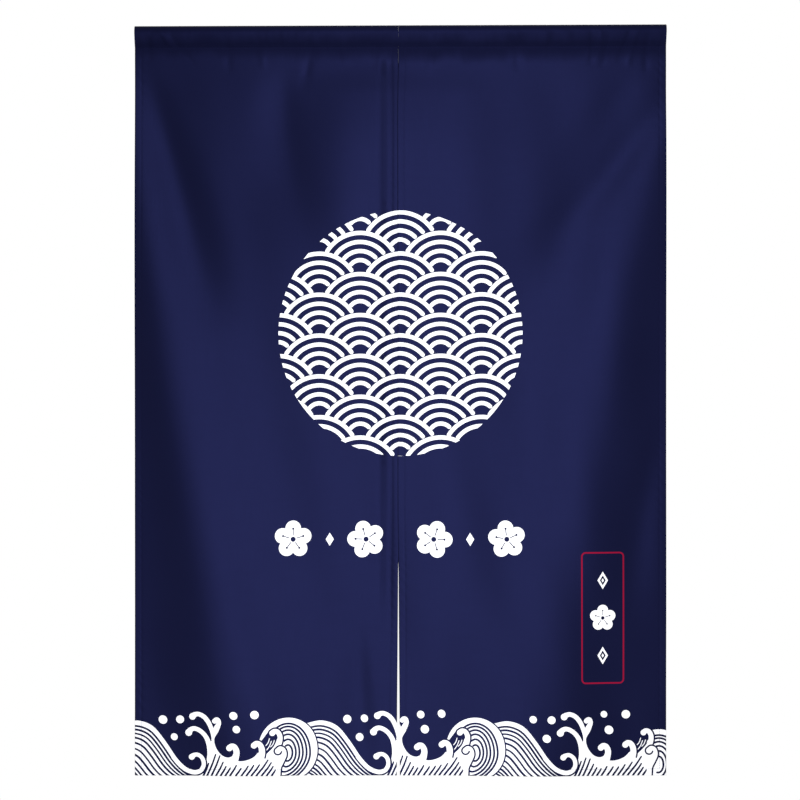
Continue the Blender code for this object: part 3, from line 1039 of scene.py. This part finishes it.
# %% Stitches
STITCH_LENGTH = 0.0028
STITCH_PITCH = 0.0034
THREAD_RADIUS = 0.00026
THREAD_LIFT = 0.00006
THREAD_TWIST = 420.0
BAR_RINGS = ((-0.5, 0.25), (-0.36, 0.85), (0.36, 0.85), (0.5, 0.25))
BAR_SIDES = 5
POCKET_SEAM_Z = -0.0362


def seam_lines(side):
    """The flat places of the stitches along both side hems, the bottom hem and the pocket's seam."""
    left, right = panel_span(side)
    down = np.arange(-POCKET_DROP - 0.004, -DROP + STITCH_IN, -STITCH_PITCH)
    across = np.arange(left + STITCH_IN + 0.002, right - STITCH_IN, STITCH_PITCH)
    sides = [lattice(x, down) for x in (left + STITCH_IN, right - STITCH_IN)]
    return sides + [lattice(across, z) for z in (-DROP + STITCH_IN, POCKET_SEAM_Z)]


def seam_frames(flat, side):
    """Places on the hung cloth with unit vectors along the seam and out of the front."""
    step = 1e-4
    here = hang(*flat.T, side)
    across = hang(*(flat + (step, 0)).T, side) - here
    up = hang(*(flat + (0, step)).T, side) - here
    out = np.cross(across, up)
    out /= np.linalg.norm(out, axis=1, keepdims=True)
    along = up if np.ptp(flat[:, 1]) > np.ptp(flat[:, 0]) else across
    return here, along / np.linalg.norm(along, axis=1, keepdims=True), out


def bars(places, along, out):
    """Bars of thread: place + along * length * t + radius * (beside * cos a + out * 0.8 sin a)."""
    beside = np.cross(out, along)
    angle = np.arange(BAR_SIDES) * 2 * np.pi / BAR_SIDES
    t = np.repeat([ring[0] for ring in BAR_RINGS], BAR_SIDES)[None, :, None]
    radius = np.repeat([ring[1] for ring in BAR_RINGS], BAR_SIDES)[None, :, None] * THREAD_RADIUS
    a = np.tile(angle, len(BAR_RINGS))[None, :, None]
    points = places[:, None] + along[:, None] * STITCH_LENGTH * t
    points = points + radius * (beside[:, None] * np.cos(a) + out[:, None] * 0.8 * np.sin(a))
    ring, last = np.arange(BAR_SIDES), len(BAR_RINGS) - 1
    after = np.roll(ring, -1)
    walls = ((ring, after, after + BAR_SIDES), (ring, after + BAR_SIDES, ring + BAR_SIDES))
    faces = [np.stack(wall, axis=1) + BAR_SIDES * k for wall in walls for k in range(last)]
    fan = np.stack([np.zeros(BAR_SIDES - 2, int), ring[2:], ring[1:-1]], axis=1)
    faces += [fan, fan[:, ::-1] + BAR_SIDES * last]
    faces = np.vstack(faces)[None] + np.arange(len(places))[:, None, None] * points.shape[1]
    return points.reshape(-1, 3), faces.reshape(-1, 3)


def make_stitches(side, name, finish):
    """The bars of one panel's seams, on the front and on the back of the hem or the cloth."""
    parts = []
    for flat in seam_lines(side):
        here, along, out = seam_frames(flat, side)
        parts.append(bars(here + out * THREAD_LIFT, along, out))
        deep = CLOTH if flat[0, 1] == flat[-1, 1] == POCKET_SEAM_Z else HEM
        parts.append(bars(here - out * (deep + THREAD_LIFT), along, -out))
    points = np.vstack([part[0] for part in parts])
    starts = np.cumsum([0] + [len(part[0]) for part in parts[:-1]])
    faces = np.vstack([part[1] + start for part, start in zip(parts, starts)])
    return make_piece(f"stitches_{name}", points, faces, points[:, [0, 2]], [finish])


def thread_finish(name, colour):
    """Spun thread: a slanted ridge for its twist, with painted shade in darker bands along it, and a soft
    gleam.
    """
    graph = Graph(name)
    twist = graph.wave(graph.place(), THREAD_TWIST, "DIAGONAL")
    # Painted shade: the colour goes to 0.6 of itself in bands along the twist.
    tone = graph.blend(twist, colour, darker(colour, 0.6))
    return graph.surface(Base_Color=tone, Normal=graph.bump(twist, 0.4), Roughness=0.55,
                         Specular_IOR_Level=0.12, Specular_Tint=NAVY_GLEAM)


THREAD = thread_finish("navy_thread", (0.0075, 0.0085, 0.0360, 1.0))
stitches = {side: make_stitches(side, name, THREAD) for side, name in SIDES}

# %% [markdown]
# ## Floor, light and camera
# The curtain hangs before a plain white ground, so the sky that the camera sees is white, and a
# weaker grey one lights the cloth. One tall soft lamp close in front of the middle makes the bands of
# the folds that face the middle light, and those that face outwards dark.

# %% Stage
FLOOR_Z = -2.0
FLOOR_RADIUS = 2.2
FLOOR_RINGS = 24
FLOOR_SPOKES = 72
SKY_SEEN = 1.0
SKY_LIGHT = 0.46
LAMPS = (
    # name, place, target, width and height, power in watts, roll
    ("strip_front", (0.02, -1.02, -0.62), (0.02, 0.0, -0.62), (0.30, 1.95), 19.8, -0.13),
    ("fill_back", (0.6, 2.2, 0.4), (0.0, 0.0, -0.6), (1.6, 1.6), 30.0, 0.0),
)
CAMERA_PLACE = (-0.0008, -4.0, -0.5994)
CAMERA_LENS = 112.5


def make_floor():
    """A round pale floor below the curtain, whose height is a slow roll of 2 mm."""
    radius = np.linspace(0, FLOOR_RADIUS, FLOOR_RINGS)[:, None]
    angle = np.linspace(0, 2 * np.pi, FLOOR_SPOKES, endpoint=False)[None]
    x, y = radius * np.cos(angle), radius * np.sin(angle)
    points = np.stack([x, y, FLOOR_Z + 0.002 * np.sin(2 * x) * np.sin(3 * y)], axis=-1).reshape(-1, 3)
    graph = Graph("pale_floor")
    tone = graph.blend(graph.noise(graph.place(), 40.0, 4.0), (0.80, 0.80, 0.80, 1), (0.74, 0.74, 0.74, 1))
    finish = graph.surface(Base_Color=tone, Roughness=0.7)
    floor = make_piece("floor", points, round_grid(FLOOR_RINGS, FLOOR_SPOKES), points[:, :2], [finish])


def make_world(seen, ambient):
    """White where the camera looks past the curtain, and a dimmer even light for everything else."""
    world = bpy.data.worlds.new("white_ground")
    bpy.context.scene.world = world
    world.use_nodes = True
    tree = world.node_tree
    tree.nodes.clear()
    kinds = ("LightPath", "MixShader", "OutputWorld")
    path, mix, out = (tree.nodes.new(f"ShaderNode{kind}") for kind in kinds)
    tree.links.new(path.outputs["Is Camera Ray"], mix.inputs[0])
    for number, strength in ((1, ambient), (2, seen)):
        shade = tree.nodes.new("ShaderNodeBackground")
        shade.inputs["Color"].default_value = (1.0, 1.0, 1.0, 1.0)
        shade.inputs["Strength"].default_value = strength
        tree.links.new(shade.outputs[0], mix.inputs[number])
    tree.links.new(mix.outputs[0], out.inputs[0])


def make_lamp(name, place, target, size, power, roll):
    """A rectangular soft lamp that faces its target, turned by roll about the line to it."""
    data = bpy.data.lights.new(name, "AREA")
    data.shape = "RECTANGLE"
    data.size, data.size_y = size
    data.energy = power
    lamp = bpy.data.objects.new(name, data)
    lamp.location = place
    aim = (Vector(target) - Vector(place)).to_track_quat("-Z", "Y")
    lamp.rotation_euler = (aim @ Quaternion((0, 0, 1), roll)).to_euler()
    bpy.context.scene.collection.objects.link(lamp)


make_floor()
make_world(SKY_SEEN, SKY_LIGHT)
for lamp in LAMPS:
    make_lamp(*lamp)

camera_data = bpy.data.cameras.new("camera")
camera_data.lens = CAMERA_LENS
camera_data.sensor_width = 36.0
camera = bpy.data.objects.new("camera", camera_data)
camera.location = CAMERA_PLACE
camera.rotation_euler = (np.pi / 2, 0.0, 0.0)
bpy.context.scene.collection.objects.link(camera)
bpy.context.scene.camera = camera
bpy.context.scene.view_settings.view_transform = "Standard"
print("lamps:", len(LAMPS), "camera at", CAMERA_PLACE)

# %% [markdown]
# ## Joining the pieces to the frame
# The cloth and the sleeves stand for the CAD solids of the same places. Everything rides on the one
# body of the curtain.

# %% Frame
for side, name in SIDES:
    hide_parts(f"panel_{name}")
    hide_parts(f"heading_{name}")
    for piece in (panels[side], sleeves[side], stitches[side]):
        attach(piece, "root")
